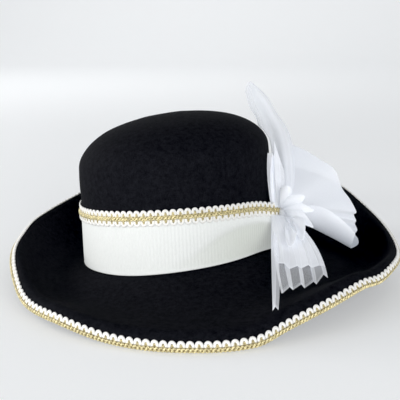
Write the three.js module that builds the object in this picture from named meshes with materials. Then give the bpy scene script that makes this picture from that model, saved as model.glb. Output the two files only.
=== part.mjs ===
import * as THREE from 'three';

// A wide-brimmed church hat in black wool felt, with a ribbed ivory ribbon, white and gold
// braid, and a pleated organza bow at the wearer's left. Millimetres, +Z up, the hat's front
// faces -Y, and it stands on Z = 0 as it rests by itself: leaning back on its dipped front.

// Felt, ribbon and braid sizes
const FELT = 2;
const GAP = 0.3;
const HALF_LENGTH = 98.6;
const HALF_WIDTH = 85.8;
const COLLAR_HEIGHT = 4;
const RIBBON = 1;
const BRAID_HALF = 6.5;

// How the hat leans as it rests on a table
const LEAN_TO_RIGHT_DEG = 4.6;
const LEAN_BACK_DEG = 3.4;
const FLATTENED = 0.8;

// Steps round the hat
const ROUND_BRIM = 60;
const ROUND_CROWN = 48;

// The crown's shape is taken a little round to the wearer's left of straight ahead
const SIDE_TURN_DEG = 15;

// Crown: a row for each ring, from the foot up to the top
// height above the brim, size against the foot, shift to the left side, rise to the left side
const CROWN_ROWS = [
  [4.3, 1.0, 0, 0],
  [20, 0.999, 0.6, 0.002],
  [37, 0.998, 1.3, 0.007],
  [54, 1.003, 1.6, 0.014],
  [70, 1.006, 1.9, 0.024],
  [82, 1.004, 2.3, 0.033],
  [91, 0.993, 2.4, 0.041],
  [99, 0.944, 2.0, 0.048],
  [107, 0.85, 0.8, 0.056],
  [113.5, 0.725, -1.0, 0.064],
  [118, 0.59, -2.8, 0.069],
  [121.5, 0.42, -4.0, 0.073],
  [124, 0.225, -5.0, 0.076],
];

// Brim: a row for each direction, anticlockwise from the wearer's right-hand back
// angle, radius and height of the turn, radius and height of the trimmed edge, its slope
const BRIM_ROWS = [
  [-180, 118, -10, 152.5, 19.5, -50],
  [-165, 118, -11, 148, 12, -50],
  [-150, 124, -13, 154, 8, -50],
  [-135, 132, -15, 163, 0, -50],
  [-120, 140, -18, 173.5, -12.5, -55],
  [-105, 143, -18, 182.5, -19, -65],
  [-90, 147, -18, 191, -29, -70],
  [-75, 150, -18, 199.5, -34, -70],
  [-60, 150, -19, 203, -36, -70],
  [-52.5, 150, -20, 200, -28.5, -65],
  [-45, 150, -21, 200, -22, -60],
  [-30, 155, -22, 200, -14, -60],
  [-22.5, 162, -24, 201.5, -16, -60],
  [-15, 170, -26, 201, -15, -60],
  [0, 176, -29, 198, -14, -50],
  [15, 175, -31, 196.5, -3.5, -45],
  [30, 172, -29.5, 198.5, 9, -40],
  [45, 166, -24.5, 200.5, 25, -40],
  [60, 158, -17, 203, 37.5, -40],
  [75, 150, -14, 203.5, 43.5, -40],
  [90, 145, -10, 203, 45.5, -40],
  [105, 141, -8.5, 201, 45.5, -40],
  [120, 137, -7.5, 195.5, 43, -40],
  [135, 131, -7, 186.5, 38, -40],
  [150, 125, -8.5, 173, 32.5, -40],
  [165, 120, -9, 161, 26, -45],
];
const RIM_LENGTH = 11;
const TRIM_REACH = 3.3;
const TURN_CUT = 22;

// The crown's foot and the braid's line, with their slopes across and along the hat
const FOOT_HEIGHT = -2;
const FOOT_SLOPE_ACROSS = 0.024;
const FOOT_DROP_BACK = 0.07;
const BRAID_LINE_HEIGHT = 37;
const BRAID_LINE_SLOPE = 0.098;

// The bow's knot, beside the crown at the wearer's left
const KNOT = new THREE.Vector3(98, -9, 30);
const BOW_TURN_DEG = 15;
const CLOTH = 1;

const rad = THREE.MathUtils.degToRad;

// Values between the rows of a table, smooth and closed round the circle
function roundTable(rows, column, angle) {
  const n = rows.length;
  let a = angle;
  while (a < rows[0][0]) a += 360;
  while (a >= rows[0][0] + 360) a -= 360;
  let i = n - 1;
  for (let k = 0; k < n - 1; k++) {
    if (a >= rows[k][0] && a < rows[k + 1][0]) i = k;
  }
  const at = (k) => {
    const turns = Math.floor(k / n);
    return [rows[k - turns * n][0] + 360 * turns, rows[k - turns * n][column]];
  };
  const [x0, y0] = at(i - 1);
  const [x1, y1] = at(i);
  const [x2, y2] = at(i + 1);
  const [x3, y3] = at(i + 2);
  const m1 = (y2 - y0) / (x2 - x0);
  const m2 = (y3 - y1) / (x3 - x1);
  const h = x2 - x1;
  const t = (a - x1) / h;
  const t2 = t * t;
  const t3 = t2 * t;
  return (2 * t3 - 3 * t2 + 1) * y1 + (t3 - 2 * t2 + t) * h * m1
    + (3 * t2 - 2 * t3) * y2 + (t3 - t2) * h * m2;
}

// Radius of the crown's oval in one direction, grown outwards by some millimetres
function ovalRadius(angle, grow) {
  const c = Math.cos(angle) / HALF_WIDTH;
  const s = Math.sin(angle) / HALF_LENGTH;
  return 1 / Math.hypot(c, s) + grow;
}

// Height of the crown's foot
function footHeight(x, y) {
  return FOOT_HEIGHT + FOOT_SLOPE_ACROSS * x - FOOT_DROP_BACK * Math.max(0, y) ** 2 / 100;
}

// A closed body from points and triangles, turned the right way out
function body(points, faces) {
  let volume = 0;
  for (const [a, b, c] of faces) {
    volume += points[a].dot(new THREE.Vector3().crossVectors(points[b], points[c]));
  }
  const index = [];
  for (const [a, b, c] of faces) {
    if (volume > 0) index.push(a, b, c);
    else index.push(a, c, b);
  }
  const geometry = new THREE.BufferGeometry().setFromPoints(points);
  geometry.setIndex(index);
  geometry.computeVertexNormals();
  return geometry;
}

// Two triangles for four corners, split along the shorter diagonal
function quad(points, faces, a, b, c, d) {
  if (points[a].distanceTo(points[c]) <= points[b].distanceTo(points[d])) {
    faces.push([a, b, c], [a, c, d]);
  } else {
    faces.push([a, b, d], [b, c, d]);
  }
}

// A ring-shaped body from closed sections set all the way round
function ringBody(sections) {
  const n = sections.length;
  const m = sections[0].length;
  const points = sections.flat();
  const faces = [];
  for (let i = 0; i < n; i++) {
    const j = (i + 1) % n;
    for (let k = 0; k < m; k++) {
      const l = (k + 1) % m;
      quad(points, faces, i * m + k, j * m + k, j * m + l, i * m + l);
    }
  }
  return body(points, faces);
}

// A dome-shaped skin from rings that run from one pole to the other
function skinBody(firstPole, rings, lastPole) {
  const m = rings[0].length;
  const points = [firstPole, ...rings.flat(), lastPole];
  const last = points.length - 1;
  const faces = [];
  for (let k = 0; k < m; k++) {
    const l = (k + 1) % m;
    faces.push([0, 1 + k, 1 + l]);
    faces.push([last, last - m + l, last - m + k]);
  }
  for (let i = 0; i < rings.length - 1; i++) {
    for (let k = 0; k < m; k++) {
      const l = (k + 1) % m;
      quad(points, faces, 1 + i * m + k, 1 + (i + 1) * m + k, 1 + (i + 1) * m + l, 1 + i * m + l);
    }
  }
  return body(points, faces);
}

// Normals of a grid of points; the first direction may be closed round
function gridNormals(grid, closed) {
  const n = grid.length;
  const m = grid[0].length;
  return grid.map((line, i) => line.map((p, k) => {
    const before = closed ? grid[(i + n - 1) % n][k] : grid[Math.max(0, i - 1)][k];
    const after = closed ? grid[(i + 1) % n][k] : grid[Math.min(n - 1, i + 1)][k];
    const inner = line[Math.max(0, k - 1)];
    const outer = line[Math.min(m - 1, k + 1)];
    const along = new THREE.Vector3().subVectors(after, before);
    const across = new THREE.Vector3().subVectors(outer, inner);
    return across.cross(along).normalize();
  }));
}

// A cloth sheet of even thickness from a grid of points
function sheetBody(grid, thickness) {
  const n = grid.length;
  const m = grid[0].length;
  const normals = gridNormals(grid, false);
  const points = [];
  for (const side of [0.5, -0.5]) {
    for (let i = 0; i < n; i++) {
      for (let k = 0; k < m; k++) {
        points.push(grid[i][k].clone().addScaledVector(normals[i][k], side * thickness));
      }
    }
  }
  const faces = [];
  const back = n * m;
  const at = (i, k) => i * m + k;
  for (let i = 0; i < n - 1; i++) {
    for (let k = 0; k < m - 1; k++) {
      quad(points, faces, at(i, k), at(i + 1, k), at(i + 1, k + 1), at(i, k + 1));
      quad(points, faces, back + at(i, k), back + at(i, k + 1), back + at(i + 1, k + 1),
        back + at(i + 1, k));
    }
  }
  const rim = [];
  for (let i = 0; i < n - 1; i++) rim.push(at(i, 0));
  for (let k = 0; k < m - 1; k++) rim.push(at(n - 1, k));
  for (let i = n - 1; i > 0; i--) rim.push(at(i, m - 1));
  for (let k = m - 1; k > 0; k--) rim.push(at(0, k));
  for (let j = 0; j < rim.length; j++) {
    const a = rim[j];
    const b = rim[(j + 1) % rim.length];
    quad(points, faces, a, back + a, back + b, b);
  }
  return body(points, faces);
}

// Crown

function crownPoint(angle, height, size, shift, rise, grow) {
  const turn = rad(SIDE_TURN_DEG);
  const radius = ovalRadius(angle, 0) * size + grow;
  const x = radius * Math.cos(angle);
  const y = radius * Math.sin(angle);
  const side = x * Math.cos(turn) + y * Math.sin(turn);
  const foot = footHeight(x, y) * Math.max(0, 1 - height / 60);
  return new THREE.Vector3(
    x + shift * Math.cos(turn),
    y + shift * Math.sin(turn),
    height + foot + rise * side,
  );
}

function crownRing(height, size, shift, rise, grow) {
  const ring = [];
  for (let i = 0; i < ROUND_CROWN; i++) {
    ring.push(crownPoint((2 * Math.PI * i) / ROUND_CROWN, height, size, shift, rise, grow));
  }
  return ring;
}

// A point beside the crown's side, some millimetres out from the felt, at a given level
function besideCrown(angle, level, out) {
  let i = 0;
  while (i < CROWN_ROWS.length - 2 && level > CROWN_ROWS[i + 1][0]) i += 1;
  const [h0, ...low] = CROWN_ROWS[i];
  const [h1, ...high] = CROWN_ROWS[i + 1];
  const t = Math.max(0, (level - h0) / (h1 - h0));
  const [size, shift, rise] = low.map((value, c) => value + (high[c] - value) * t);
  const point = crownPoint(angle, level, size, shift, rise, out);
  point.z = level;
  return point;
}

function crown() {
  const outer = CROWN_ROWS.map((row) => crownRing(...row, 0));
  const inner = CROWN_ROWS.map(([height, size, shift, rise], i) => {
    const lid = Math.min(1, Math.max(0, (height - 82) / 36));
    return crownRing(height - FELT * lid, size, shift, rise, -FELT * (1 - 0.55 * lid));
  });
  const [, , shift, rise] = CROWN_ROWS[CROWN_ROWS.length - 1];
  const turn = rad(SIDE_TURN_DEG);
  const top = new THREE.Vector3(shift * Math.cos(turn), shift * Math.sin(turn), 124.6 + rise * shift);
  const under = top.clone();
  under.z -= FELT;
  return skinBody(top, [...outer.reverse(), ...inner], under);
}

// Brim: the felt's middle line in each direction, from the crown's foot out to the edge

function rounded(line, corner, before, after, cut, steps) {
  const a = corner.clone().lerp(before, cut / corner.distanceTo(before));
  const b = corner.clone().lerp(after, cut / corner.distanceTo(after));
  for (let k = 0; k <= steps; k++) {
    const t = k / steps;
    const p = a.clone().multiplyScalar((1 - t) ** 2);
    p.addScaledVector(corner, 2 * t * (1 - t)).addScaledVector(b, t * t);
    line.push(p);
  }
}

function brimLine(angle) {
  const degrees = THREE.MathUtils.radToDeg(angle);
  const inner = ovalRadius(angle, -FELT / 2);
  const foot = footHeight(inner * Math.cos(angle), inner * Math.sin(angle));
  const collar = new THREE.Vector2(inner, foot + COLLAR_HEIGHT);
  const corner = new THREE.Vector2(inner, foot);
  const turn = new THREE.Vector2(roundTable(BRIM_ROWS, 1, degrees), roundTable(BRIM_ROWS, 2, degrees));
  const trim = new THREE.Vector2(roundTable(BRIM_ROWS, 3, degrees), roundTable(BRIM_ROWS, 4, degrees));
  const slope = rad(roundTable(BRIM_ROWS, 5, degrees));
  const out = new THREE.Vector2(Math.cos(slope), Math.sin(slope));
  const edge = trim.clone().addScaledVector(out, -TRIM_REACH);
  const crest = edge.clone().addScaledVector(out, -RIM_LENGTH);
  const line = [collar];
  rounded(line, corner, collar, turn, 2, 2);
  const cut = Math.min(TURN_CUT, 0.6 * turn.distanceTo(corner), 0.6 * turn.distanceTo(crest));
  rounded(line, turn, corner, crest, cut, 4);
  rounded(line, crest, turn, edge, 6, 3);
  line.push(edge);
  return line.map((p) => new THREE.Vector3(p.x * Math.cos(angle), p.x * Math.sin(angle), p.y));
}

function brimGrid() {
  const grid = [];
  for (let i = 0; i < ROUND_BRIM; i++) grid.push(brimLine((2 * Math.PI * i) / ROUND_BRIM));
  return grid;
}

const BRIM = brimGrid();
const BRIM_UP = gridNormals(BRIM, true);

function brim() {
  const sections = BRIM.map((line, i) => {
    const top = line.map((p, k) => p.clone().addScaledVector(BRIM_UP[i][k], FELT / 2));
    const under = line.map((p, k) => p.clone().addScaledVector(BRIM_UP[i][k], -FELT / 2));
    return [...top, ...under.reverse()];
  });
  return ringBody(sections);
}

// Trim wrapped over the brim's edge; the profile runs outwards from the edge and up from the felt
function edgeTrim(profile) {
  const sections = BRIM.map((line, i) => {
    const m = line.length;
    const end = line[m - 1];
    const inward = new THREE.Vector3().subVectors(line[m - 2], end);
    const reach = inward.length();
    inward.normalize();
    return profile.map(([out, up]) => {
      const back = Math.max(0, -out);
      const p = end.clone();
      const normal = BRIM_UP[i][m - 1].clone();
      if (back > 0) {
        const first = Math.min(back, reach);
        p.addScaledVector(inward, first);
        if (back > reach) {
          const next = new THREE.Vector3().subVectors(line[m - 3], line[m - 2]).normalize();
          p.addScaledVector(next, back - reach);
          normal.copy(BRIM_UP[i][m - 2]);
        } else {
          normal.lerp(BRIM_UP[i][m - 2], first / reach).normalize();
        }
      } else {
        p.addScaledVector(inward, -out);
      }
      return p.addScaledVector(normal, up);
    });
  });
  return ringBody(sections);
}

const EDGE_BRAID = [
  [-6.5, 2.4], [-2, 2.7], [1.2, 1.9], [2, 0], [1.2, -1.9], [-2, -2.7], [-6.5, -2.4],
  [-6.5, -1.6], [0.35, -1.4], [0.35, 1.4], [-6.5, 1.6],
];
const EDGE_GOLD = [
  [-0.8, 4], [2, 3], [3.3, 0], [2, -3], [-0.8, -4],
  [-0.8, -3], [1.7, -2.2], [2.4, 0], [1.7, 2.2], [-0.8, 3],
];

// Ribbon and braid round the crown: the profile runs out from the felt and up from a line
function bandBody(profile) {
  const sections = [];
  for (let i = 0; i < ROUND_CROWN; i++) {
    const angle = (2 * Math.PI * i) / ROUND_CROWN;
    const radius = ovalRadius(angle, 0);
    const x = radius * Math.cos(angle);
    const y = radius * Math.sin(angle);
    const foot = footHeight(x, y);
    const braid = BRAID_LINE_HEIGHT - BRAID_LINE_SLOPE * y;
    sections.push(profile.map(([out, up, line]) => besideCrown(angle, up + (line ? braid : foot), out)));
  }
  return ringBody(sections);
}

const RIBBON_PROFILE = [
  [GAP + 0.2, 2.6, 0], [GAP + RIBBON + 0.2, 2.4, 0], [GAP + RIBBON, -14, 1], [GAP + RIBBON, -1, 1],
  [GAP, -1, 1], [GAP, -14, 1],
];
const BRAID_PROFILE = [
  [0.5, BRAID_HALF, 1], [1.9, BRAID_HALF, 1], [2.9, 0, 1], [2.8, -BRAID_HALF, 1],
  [1.65, -BRAID_HALF, 1], [1.65, 0, 1],
];
const GOLD_PROFILE = [[3.3, 1.9, 1], [4.2, 1.2, 1], [4.2, -1.2, 1], [3.3, -1.9, 1]];

// Bow: each piece is a fan of cloth that spreads from the knot, a row for each fold.
// A row gives the middle and the tip of the fold: out to the side, up, and forwards.

function bowPoint(out, up, forward) {
  const turn = rad(BOW_TURN_DEG);
  return new THREE.Vector3(
    KNOT.x + out * Math.cos(turn) + forward * Math.sin(turn),
    KNOT.y + out * Math.sin(turn) - forward * Math.cos(turn),
    KNOT.z + up,
  );
}

function fan(root, rows, steps, thickness) {
  const n = rows.length;
  const grid = rows.map(([mo, mu, mf, to, tu, tf], i) => {
    const t = i / (n - 1);
    const start = root[0].map((value, c) => value + (root[1][c] - value) * t);
    const line = [];
    for (let k = 0; k <= steps; k++) {
      const s = k / steps;
      const w0 = (1 - s) * (1 - 2 * s);
      const w1 = 4 * s * (1 - s);
      const w2 = s * (2 * s - 1);
      line.push(bowPoint(
        w0 * start[0] + w1 * mo + w2 * to,
        w0 * start[1] + w1 * mu + w2 * tu,
        w0 * start[2] + w1 * mf + w2 * tf,
      ));
    }
    return line;
  });
  return sheetBody(grid, thickness);
}

// Tall loop that stands up behind the crown's shoulder
const PLUME_ROOT = [[-6, 8, -4], [8, 8, -3]];
const PLUME_ROWS = [
  [0, 50, -30, -21, 104, -62],
  [1, 52, -26, -17, 115, -66],
  [3, 54, -30, -13, 113, -70],
  [6, 55, -24, -10, 117, -65],
  [9, 53, -29, -4, 106, -65],
  [11, 52, -23, 2, 99, -56],
  [14, 49, -27, 9, 87, -53],
  [17, 45, -20, 15, 74, -42],
];

// Short flap in front of the tall loop
const FLAP_ROOT = [[-9, 9, 5], [0, 9, 6]];
const FLAP_ROWS = [
  [-9, 32, 5, -8, 54, 2],
  [-7, 32, 8, -5, 51, 5],
  [-4, 34, 4, -1, 64, 0],
  [-1, 33, 8, 2, 57, 4],
  [2, 33, 4, 6, 60, 0],
];

// Large loop that lies out to the side and rolls forwards along its lower edge
const LOOP_ROOT = [[3, 6, -4.5], [8, -5, 1.5]];
const LOOP_ROWS = [
  [12, 30, -26, 19, 56, -42],
  [20, 26, -25, 32, 49, -38],
  [27, 21, -23, 44, 40, -33],
  [32, 16, -21, 55, 31, -27],
  [35, 10, -19, 60, 14, -22],
  [38, 3, -17, 66, 4, -20],
  [40, -2, -16, 71, -8, -18],
  [39, -5, -14, 68, -10, -15],
  [39, -7, -14, 70, -16, -16],
  [38, -9, -12, 68, -18, -12],
  [38, -11, -11, 70, -24, -13],
  [37, -14, -9, 67, -27, -9],
  [37, -17, -6, 69, -31, -7],
  [36, -20, 0, 67, -34, 2],
  [36, -20, 7, 59, -35, 10],
  [35, -14, 12, 60, -29, 15],
  [35, -4, 15, 62, -22, 16],
  [32, 6, 15, 62, -20, 16],
];

// Two layers of pleated tails that spread forwards over the brim
const LONG_ROOT = [[-6, -8.5, 7], [8, -8, 5]];
const LONG_ROWS = [
  [-9, -28, 50, -14, -43, 96],
  [-7, -27, 52, -12, -43, 101],
  [-5, -29, 46, -5, -41, 92],
  [-2, -28, 49, -2, -43, 97],
  [1, -30, 43, 5, -42, 84],
  [4, -29, 46, 7, -44, 91],
  [8, -31, 40, 15, -43, 74],
  [11, -30, 43, 17, -45, 81],
  [15, -29, 36, 25, -41, 62],
  [18, -29, 38, 28, -44, 67],
];
const SHORT_ROOT = [[-5, -6, 10], [8, -5.5, 9]];
const SHORT_ROWS = [
  [-8, -18, 43, -13, -27, 72],
  [-6, -17, 46, -8, -28, 75],
  [-4, -19, 42, -3, -33, 69],
  [-1, -18, 45, 3, -31, 74],
  [2, -20, 41, 8, -33, 70],
  [6, -19, 44, 12, -31, 73],
  [9, -22, 38, 16, -34, 64],
  [13, -22, 40, 21, -35, 67],
  [16, -24, 34, 27, -37, 61],
];
const STRIP_ROOT = [[-10, -7, 9], [-7, -7, 10]];
const STRIP_ROWS = [
  [-18, -33, 76, -23, -43.5, 145],
  [-15, -31, 76, -21, -42.5, 145],
  [-12, -33, 72, -18, -44.5, 141],
];

// Small squared pleat ends round the knot, a row for each fold
const ROSETTE_ROOT = [[-2, 5, 11], [-2, -5, 11]];
const ROSETTE_ROWS = [
  [-3, 14, 15, -3, 25, 15],
  [0, 15, 18, 1, 27, 20],
  [3, 13, 15, 5, 23, 15],
  [5, 14, 18, 9, 27, 20],
  [6, 10, 15, 12, 18, 15],
  [9, 9, 18, 19, 17, 21],
  [8, 5, 15, 18, 9, 16],
  [11, 2, 18, 26, 5, 21],
  [8, -1, 17, 18, -3, 22],
  [10, -4, 22, 22, -9, 34],
  [6, -5, 22, 14, -10, 36],
  [6, -8, 26, 13, -17, 45],
  [3, -7, 25, 7, -15, 42],
  [1, -9, 28, 2, -20, 48],
  [-2, -7, 26, -1, -15, 42],
];

// Colours and finishes
const LOOKS = {
  felt: [0x17181b, 0.95, 0],
  ribbon: [0xf1f2ee, 0.7, 0],
  white: [0xf4f3ee, 0.6, 0],
  gold: [0xc9b26b, 0.4, 0.5],
  organza: [0xf2f3f8, 0.5, 0],
};

const hat = new THREE.Group();
hat.name = 'church_hat';

function add(name, geometry, look) {
  const [color, roughness, metalness] = LOOKS[look];
  const material = new THREE.MeshStandardMaterial({ color, roughness, metalness });
  const mesh = new THREE.Mesh(geometry, material);
  mesh.name = name;
  hat.add(mesh);
}

add('crown', crown(), 'felt');
add('brim', brim(), 'felt');
add('ribbon_band', bandBody(RIBBON_PROFILE), 'ribbon');
add('band_braid', bandBody(BRAID_PROFILE), 'white');
add('band_braid_gold', bandBody(GOLD_PROFILE), 'gold');
add('brim_braid', edgeTrim(EDGE_BRAID), 'white');
add('brim_braid_gold', edgeTrim(EDGE_GOLD), 'gold');

const knot = new THREE.SphereGeometry(1, 12, 8);
knot.scale(8.5, 6, 8);
knot.rotateZ(rad(BOW_TURN_DEG));
knot.translate(...bowPoint(-0.6, 0, 4).toArray());
add('bow_knot', knot, 'organza');
add('bow_plume', fan(PLUME_ROOT, PLUME_ROWS, 8, CLOTH), 'organza');
add('bow_flap', fan(FLAP_ROOT, FLAP_ROWS, 5, CLOTH), 'organza');
add('bow_side_loop', fan(LOOP_ROOT, LOOP_ROWS, 6, CLOTH), 'organza');
add('bow_rosette', fan(ROSETTE_ROOT, ROSETTE_ROWS, 3, CLOTH), 'organza');
add('bow_tail_long', fan(LONG_ROOT, LONG_ROWS, 6, CLOTH), 'organza');
add('bow_tail_short', fan(SHORT_ROOT, SHORT_ROWS, 5, CLOTH), 'organza');
add('bow_tail_strip', fan(STRIP_ROOT, STRIP_ROWS, 6, CLOTH), 'organza');

// Stand the hat on the table: lean it, lay its lowest felt and trim flat, and centre it
const lean = new THREE.Matrix4().makeRotationX(-rad(LEAN_BACK_DEG));
lean.multiply(new THREE.Matrix4().makeRotationY(-rad(LEAN_TO_RIGHT_DEG)));
const box = new THREE.Box3();
for (const mesh of hat.children) {
  mesh.geometry.applyMatrix4(lean);
  mesh.geometry.computeBoundingBox();
  box.union(mesh.geometry.boundingBox);
}
const table = box.min.z + FLATTENED;
for (const name of ['brim', 'brim_braid_gold']) {
  const { geometry } = hat.getObjectByName(name);
  const { position } = geometry.attributes;
  for (let i = 0; i < position.count; i++) position.setZ(i, Math.max(position.getZ(i), table));
  geometry.computeVertexNormals();
}
const middle = box.getCenter(new THREE.Vector3());
for (const mesh of hat.children) mesh.geometry.translate(-middle.x, -middle.y, -table);

export default hat;
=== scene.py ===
"""A wide-brimmed felt church hat with a ribbed ribbon, looped gimp braid and an organza bow.

Sizes are in millimetres in the hat's own frame: +Z up the crown, the front towards -Y, the
wearer's left towards +X. Every piece is then leaned and set down on the table as the frame is.
"""

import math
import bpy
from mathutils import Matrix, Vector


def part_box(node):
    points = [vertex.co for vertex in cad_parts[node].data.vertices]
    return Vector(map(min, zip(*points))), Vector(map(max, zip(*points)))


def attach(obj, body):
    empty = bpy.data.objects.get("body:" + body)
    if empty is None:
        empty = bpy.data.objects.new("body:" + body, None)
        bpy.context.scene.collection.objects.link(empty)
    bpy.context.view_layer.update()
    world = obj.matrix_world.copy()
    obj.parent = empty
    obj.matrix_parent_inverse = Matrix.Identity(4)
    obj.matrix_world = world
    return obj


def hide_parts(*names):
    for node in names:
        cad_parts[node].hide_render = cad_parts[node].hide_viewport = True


bl_info = {
    "name": "Church Hat",
    "version": (1, 0, 0),
    "blender": (4, 5, 0),
    "location": "3D View > Sidebar > Church Hat",
    "description": "Makes a wide-brimmed felt hat with ribbon, gimp braid and an organza bow",
    "category": "Add Mesh",
}

import bmesh
import bpy
import numpy as np
from mathutils import Matrix, Quaternion, Vector

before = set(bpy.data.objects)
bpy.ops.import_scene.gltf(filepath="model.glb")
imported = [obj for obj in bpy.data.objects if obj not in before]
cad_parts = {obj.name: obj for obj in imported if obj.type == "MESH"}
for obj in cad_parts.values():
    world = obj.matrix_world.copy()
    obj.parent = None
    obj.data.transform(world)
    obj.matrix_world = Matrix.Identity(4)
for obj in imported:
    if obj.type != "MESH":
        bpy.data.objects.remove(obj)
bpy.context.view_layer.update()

MM = 0.001

# Felt, ribbon and braid: thicknesses, the crown's oval foot and the spacing of ribs and loops
FELT = 2.0
GAP = 0.3
HALF_LENGTH = 98.6
HALF_WIDTH = 85.8
COLLAR_HEIGHT = 4.0
RIBBON = 1.0
RIB_SPACING = 3.0
RIB_DEPTH = 0.17
CORD = 2.5
GOLD_THREAD = 1.7
BAND_LOOP = 6.1
BRIM_LOOP = 6.35

# How finely the meshes are made
CROWN_COLUMNS = 144
BRIM_COLUMNS = 240
RIM_COLUMNS = 480
RIM_STEP = 0.5
RIB_POINTS = 4
ROPE_POINTS = 14
KNOT_RINGS = 24
KNOT_COLUMNS = 64
FAN_STEPS = 24
PLUME_LINES = 41
PLUME_STEPS = 48

# How the hat leans as it rests
LEAN_TO_RIGHT_DEG = 4.6
LEAN_BACK_DEG = 3.4

# The crown's shape is taken a little round to the wearer's left of straight ahead
SIDE_TURN_DEG = 15.0

# Crown: a row for each ring, from the foot up to the top
# height above the brim, size against the foot, shift to the left side, rise to the left side
CROWN_ROWS = [
    [4.3, 1.0, 0, 0],
    [20, 0.999, 0.6, 0.002],
    [37, 0.998, 1.3, 0.007],
    [54, 1.003, 1.6, 0.014],
    [70, 1.006, 1.9, 0.024],
    [82, 1.004, 2.3, 0.033],
    [91, 0.993, 2.4, 0.041],
    [99, 0.944, 2.0, 0.048],
    [107, 0.85, 0.8, 0.056],
    [113.5, 0.725, -1.0, 0.064],
    [118, 0.59, -2.8, 0.069],
    [121.5, 0.42, -4.0, 0.073],
    [124, 0.225, -5.0, 0.076],
]
CROWN_TOP = 124.6
CAD_ROUND_CROWN = 48
# Where the inside turns from the wall into the domed top
DOME_FROM = 82.0
DOME_RISE = 36.0

# Brim: a row for each direction, anticlockwise from the wearer's right-hand back
# angle, radius and height of the turn, radius and height of the trimmed edge, its slope,
# the length of the rim from its crest to its edge, how far up round the edge the gold lies
BRIM_ROWS = [
    [-180, 118, -10, 149.4, 22.6, -62, 6.8, 48],
    [-165, 118, -11, 148.2, 17.2, -62, 6.8, 48],
    [-150, 124, -13, 153.2, 11.2, -55, 8, 42],
    [-135, 132, -15, 161.2, 0.8, -50, 10.4, 33],
    [-120, 140, -18, 173, -12.5, -55, 11, 35],
    [-105, 143, -18, 182, -19, -65, 11, 45],
    [-90, 147, -18, 190.5, -29, -70, 11, 45],
    [-75, 150, -18, 199, -34, -70, 11, 45],
    [-60, 150, -19, 202.5, -36, -70, 11, 45],
    [-52.5, 150, -20, 199.5, -30, -65, 11, 40],
    [-45, 150, -21, 199.5, -24.2, -60, 11, 35],
    [-30, 155, -22, 199.5, -16.2, -60, 11, 25],
    [-22.5, 162, -24, 200.5, -17.5, -65, 10, 15],
    [-15, 170, -26, 200.5, -15, -70, 9, 10],
    [0, 176, -29, 198, -14, -68, 8, 15],
    [15, 175, -31, 194.5, -3.6, -58, 8, 30],
    [30, 172, -29.5, 194, 8.5, -55, 8, 40],
    [45, 166, -24.5, 196, 25, -55, 8, 40],
    [60, 158, -17, 198.5, 37.5, -55, 8, 40],
    [75, 150, -14, 199, 43.5, -55, 8, 40],
    [90, 145, -10, 198.5, 45.5, -55, 8, 40],
    [105, 141, -8.5, 196.5, 45.5, -55, 8, 40],
    [120, 137, -7.5, 191, 43, -55, 8, 40],
    [135, 131, -7, 181.7, 37.7, -55, 7.3, 42],
    [150, 125, -8.5, 167.3, 30.4, -58, 6.8, 46],
    [165, 120, -9, 154.7, 26.3, -60, 6.8, 48],
]
TRIM_REACH = 3.3
TURN_CUT = 22.0
CREST_CUT = 6.0

# The crown's foot and the braid's line, with their slopes across and along the hat
FOOT_HEIGHT = -2.0
FOOT_SLOPE_ACROSS = 0.024
FOOT_DROP_BACK = 0.07
BRAID_LINE_HEIGHT = 37.0
BRAID_LINE_SLOPE = 0.098
BRAID_LIFT_RIGHT = 0.04

# Humps round the crown, each with its direction in degrees, its size and its spread in degrees:
# the braid's rise at the right, the band drawn out into the knot, the ribbon's dip in front
BRAID_RISE = (-172.0, 4.5, 26.0)
DRAWN_OUT = (-4.0, 7.5, 14.0)
FRONT_DIP = (-102.0, 0.9, 20.0)

# Ribbon: how far it starts above the crown's foot, how far its middle lies below the braid's
# line, how far its woven edge stands out, and its painted shade, left off along that edge
RIBBON_LIFT = 1.7
RIBBON_MIDDLE = 20.0
SELVAGE = 0.4
RIBBON_SHADE = 0.06
# The shallow pocket below the ribbon's fold, beside the bow: its direction, how far it stands out,
# the fold's place as a share of the ribbon's height, and its shade
POCKET_DEG = -31.0
POCKET_DEPTH = 1.8
POCKET_TOP = 0.69
POCKET_SHADE = 0.34

# Gimp: half a loop's width as a share of its spacing, and the loops' height on both sides
LOOP_HALF_WIDTH = 0.315
BAND_LOOP_HEIGHTS = (6.9, 6.9)
BRIM_LOOP_HEIGHTS = (7.0, 6.5)
# Its gold rope: half its width, its depth, how far out it lies, and how far out its core lies
BAND_ROPE = 1.15
BRIM_ROPE = 1.5
ROPE_DEPTH = 0.35
ROPE_OUT = 1.35
CORE_OUT = 1.0
# Gold hooks in each loop: half width in loops, reach and thickness as shares of loop and strand,
# and how far out they lie as a share of the cord
GOLD_HOOKS = ((0.11, 0.56, 0.62), (0.03, 0.36, 0.8))
HOOK_OUT = 0.42
# How far in from the felt's edge the brim's braid turns round it
EDGE_INSET = 0.4

# The bow's knot, beside the crown at the wearer's left
KNOT = (98.0, -9.0, 30.0)
KNOT_ASIDE = 3.5
KNOT_HALF_SIZE = (4.5, 6.5, 5.0)
BOW_TURN_DEG = 15.0

# Bow: the tall loop lies between two long edges, from the knot up to its tip.
# Bow points are out to the side, up, and forwards.
PLUME_LEFT = [
    [-6, 4, -4], [-8, 30.6, -16.5], [-9.5, 55.7, -33], [-11, 80.7, -49], [-16, 92.6, -56.5],
    [-18.6, 107.4, -64.5],
]
PLUME_RIGHT = [
    [8, 4, -2], [14, 20, -5], [17, 35, -12], [18, 54.5, -22], [15.4, 71, -34], [7.5, 86, -46],
    [1, 100, -54], [-6, 109, -61], [-10.8, 113, -64.5],
]
PLUME_ROUND_END = 5.5
PLUME_CLEAR = 2.5
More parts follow.
